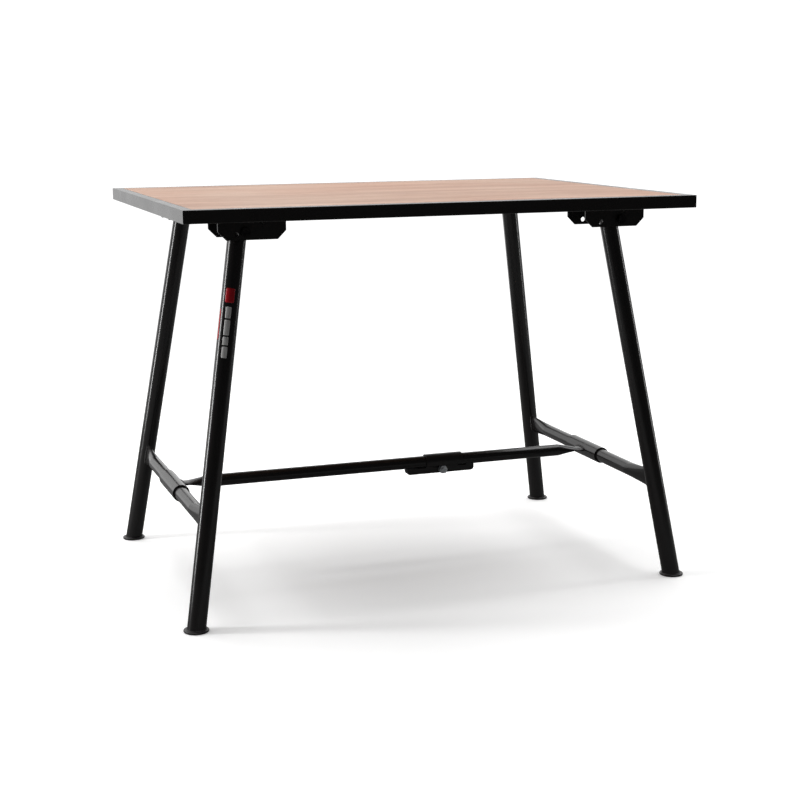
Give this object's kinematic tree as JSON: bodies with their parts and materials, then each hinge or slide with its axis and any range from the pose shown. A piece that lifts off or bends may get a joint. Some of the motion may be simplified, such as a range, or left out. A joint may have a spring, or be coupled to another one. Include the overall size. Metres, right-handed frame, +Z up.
{
  "type": "folding workbench",
  "caption": "Folding workbench: a framed plywood top on splayed tubular leg pairs that fold beneath it, tied by a jointed centre brace.",
  "frame": {"origin": "on the floor, under the centre of the top", "axes": "+X along the length of the top, +Y across it towards the back, +Z up"},
  "size_m": [1.1128, 0.8, 0.832],
  "materials": {
    "birch_plywood": "satin",
    "black_coated_rail": "gloss",
    "black_coated_bracket": "gloss",
    "black_coated_tube": "gloss",
    "black_coated_foot": "gloss",
    "zinc_plated_steel": "satin",
    "black_oxide_screw": "satin",
    "bare_steel": "satin"
  },
  "bodies": {
    "worktop": {"plywood_board": "birch_plywood", "frame_rail_front": "black_coated_rail", "frame_rail_back": "black_coated_rail", "frame_rail_left": "black_coated_rail", "frame_rail_right": "black_coated_rail", "leg_bracket_front_left": "black_coated_bracket", "leg_bracket_front_right": "black_coated_bracket", "leg_bracket_back_left": "black_coated_bracket", "leg_bracket_back_right": "black_coated_bracket", "pivot_bolts": "black_oxide_screw", "pivot_nuts": "black_oxide_screw", "pivot_washers": "black_oxide_screw", "bracket_screws": "black_oxide_screw", "board_screws": "black_oxide_screw"},
    "left_legs": {"left_leg_front": "black_coated_tube", "left_leg_back": "black_coated_tube", "left_crossbar": "black_coated_tube", "left_bush_front": "bare_steel", "left_bush_back": "bare_steel", "left_foot_front": "black_coated_foot", "left_foot_back": "black_coated_foot"},
    "right_legs": {"right_leg_front": "black_coated_tube", "right_leg_back": "black_coated_tube", "right_crossbar": "black_coated_tube", "right_bush_front": "bare_steel", "right_bush_back": "bare_steel", "right_foot_front": "black_coated_foot", "right_foot_back": "black_coated_foot"},
    "left_brace": {"left_sleeve": "black_coated_tube", "left_brace_tube": "black_coated_tube", "left_brace_lug": "black_coated_tube"},
    "right_brace": {"right_sleeve": "black_coated_tube", "right_brace_tube": "black_coated_tube", "joint_saddle": "black_coated_bracket", "joint_plates": "black_coated_bracket", "saddle_rivet": "black_coated_bracket", "joint_bolt": "zinc_plated_steel", "joint_nut": "zinc_plated_steel", "joint_washers": "zinc_plated_steel"}
  },
  "joints": [
    {"name": "left_leg_fold", "type": "hinge", "parent": "worktop", "child": "left_legs", "pos_m": [-0.404, 0, 0.782], "axis": [0, -1, 0], "range_deg": [0, 99.2]},
    {"name": "right_leg_fold", "type": "hinge", "parent": "worktop", "child": "right_legs", "pos_m": [0.404, 0, 0.782], "axis": [0, 1, 0], "range_deg": [0, 89]},
    {"name": "left_brace_swing", "type": "hinge", "parent": "left_legs", "child": "left_brace", "pos_m": [-0.49676, 0, 0.2104], "axis": [0, 1, 0], "range_deg": [0, 279.3]},
    {"name": "right_brace_swing", "type": "hinge", "parent": "right_legs", "child": "right_brace", "pos_m": [0.49676, 0, 0.2104], "axis": [0, 1, 0], "range_deg": [0, 107]}
  ],
  "couplings": [
    {"joint": "left_brace_swing", "follows": "left_leg_fold", "ratio": 2.8145},
    {"joint": "right_brace_swing", "follows": "right_leg_fold", "ratio": 1.2}
  ]
}
